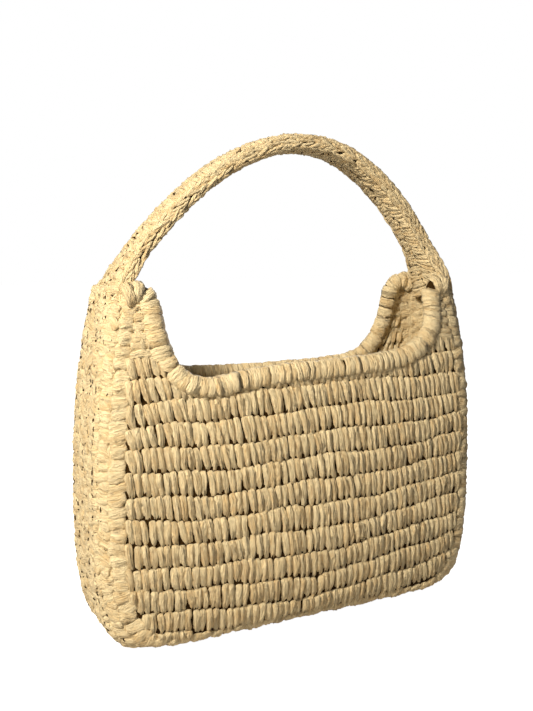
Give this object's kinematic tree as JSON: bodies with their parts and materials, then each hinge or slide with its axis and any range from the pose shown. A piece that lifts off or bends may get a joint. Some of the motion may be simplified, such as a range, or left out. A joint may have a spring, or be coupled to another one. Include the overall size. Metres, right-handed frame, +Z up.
{
  "type": "hobo bag",
  "caption": "Soft open-top hobo bag crocheted from straw-coloured paper raffia, with a bowed side and base band and one short arched strap.",
  "frame": {"origin": "on the floor, under the middle of the bag's base", "axes": "+Z up, +X towards the bag's right side seen from the front, the front panel faces -Y"},
  "size_m": [0.364, 0.1157, 0.4125],
  "materials": {
    "straw_stitches": "crocheted paper-straw yarn, upright stitches in rows, satin",
    "straw_band": "crocheted paper-straw yarn, close low stitches, satin",
    "straw_wraps": "paper-straw yarn wound in thick wraps and chains, satin",
    "cotton_filler": "natural cotton cord and tape, matt"
  },
  "bodies": {
    "bag": {"front_panel": "straw_stitches", "back_panel": "straw_stitches", "gusset": "straw_band", "front_seam": "straw_wraps", "back_seam": "straw_wraps", "front_mouth_binding": "straw_wraps", "back_mouth_binding": "straw_wraps", "front_mouth_cord": "cotton_filler", "back_mouth_cord": "cotton_filler", "left_strap_root": "straw_band", "right_strap_root": "straw_band"},
    "strap": {"strap": "straw_band", "strap_tape": "cotton_filler", "strap_front_braid": "straw_wraps", "strap_back_braid": "straw_wraps"}
  },
  "joints": [
    {"name": "strap_fold", "type": "hinge", "parent": "bag", "child": "strap", "pos_m": [0, 0, 0.318], "axis": [1, 0, 0], "range_deg": [-90, 90]}
  ]
}
